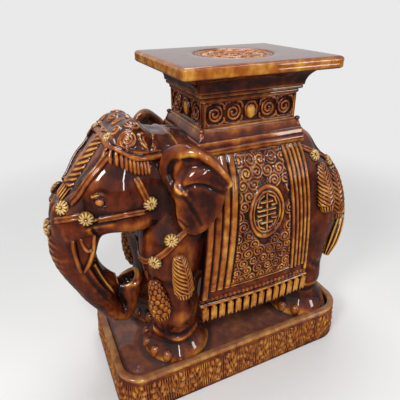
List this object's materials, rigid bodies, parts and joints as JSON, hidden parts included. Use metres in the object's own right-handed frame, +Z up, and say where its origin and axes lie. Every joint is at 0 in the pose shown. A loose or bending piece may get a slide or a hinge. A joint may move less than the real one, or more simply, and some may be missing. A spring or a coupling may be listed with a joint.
{
  "type": "ceramic elephant plant stand",
  "caption": "Glazed ceramic elephant on a rounded plinth, with saddle cloth and tassels, carrying a flared pedestal and a flat rectangular top plate.",
  "frame": {"origin": "centre of the plinth's footprint, at floor level", "axes": "+Z up; -X the way the elephant faces; -Y the elephant's left side"},
  "size_m": [0.4101, 0.2036, 0.42],
  "materials": {
    "body_glaze": "glossy treacle glaze",
    "ornament_glaze": "glossy treacle glaze",
    "rosette_glaze": "glossy treacle glaze",
    "cloth_glaze": "glossy treacle glaze",
    "stand_glaze": "glossy treacle glaze"
  },
  "bodies": {
    "root": {"breast_rosettes": "rosette_glaze", "breast_strap": "ornament_glaze", "breast_tassels_left": "ornament_glaze", "breast_tassels_right": "ornament_glaze", "bridle_rosettes": "rosette_glaze", "brow_strap_left": "ornament_glaze", "brow_strap_right": "ornament_glaze", "cheek_strap_left": "ornament_glaze", "cheek_strap_right": "ornament_glaze", "cloth_border_left": "ornament_glaze", "cloth_border_right": "ornament_glaze", "cloth_fringe_left": "ornament_glaze", "cloth_fringe_right": "ornament_glaze", "cloth_medallion_left": "ornament_glaze", "cloth_medallion_right": "ornament_glaze", "crupper_rosettes": "rosette_glaze", "crupper_strap_left": "ornament_glaze", "crupper_strap_right": "ornament_glaze", "ear_left": "body_glaze", "ear_right": "body_glaze", "eye_left": "body_glaze", "eye_right": "body_glaze", "forehead_tassel": "ornament_glaze", "head": "body_glaze", "head_cloth": "ornament_glaze", "head_cloth_fringe": "ornament_glaze", "leg_front_left": "body_glaze", "leg_front_right": "body_glaze", "leg_rear_left": "body_glaze", "leg_rear_right": "body_glaze", "lower_jaw": "body_glaze", "pedestal_cove": "stand_glaze", "pedestal_foot": "stand_glaze", "pedestal_knobs": "ornament_glaze", "pedestal_waist": "stand_glaze", "plinth_deck": "stand_glaze", "plinth_frieze": "ornament_glaze", "plinth_rim": "ornament_glaze", "plinth_wall": "stand_glaze", "rump_tassels_left": "ornament_glaze", "rump_tassels_right": "ornament_glaze", "saddle_cloth_left": "cloth_glaze", "saddle_cloth_right": "cloth_glaze", "tail": "body_glaze", "toenails": "ornament_glaze", "top_medallion": "ornament_glaze", "top_plate": "stand_glaze", "torso": "body_glaze", "trunk": "body_glaze", "trunk_flower": "rosette_glaze", "tusk_left": "ornament_glaze", "tusk_right": "ornament_glaze", "waist_scrolls": "ornament_glaze"}
  },
  "joints": []
}
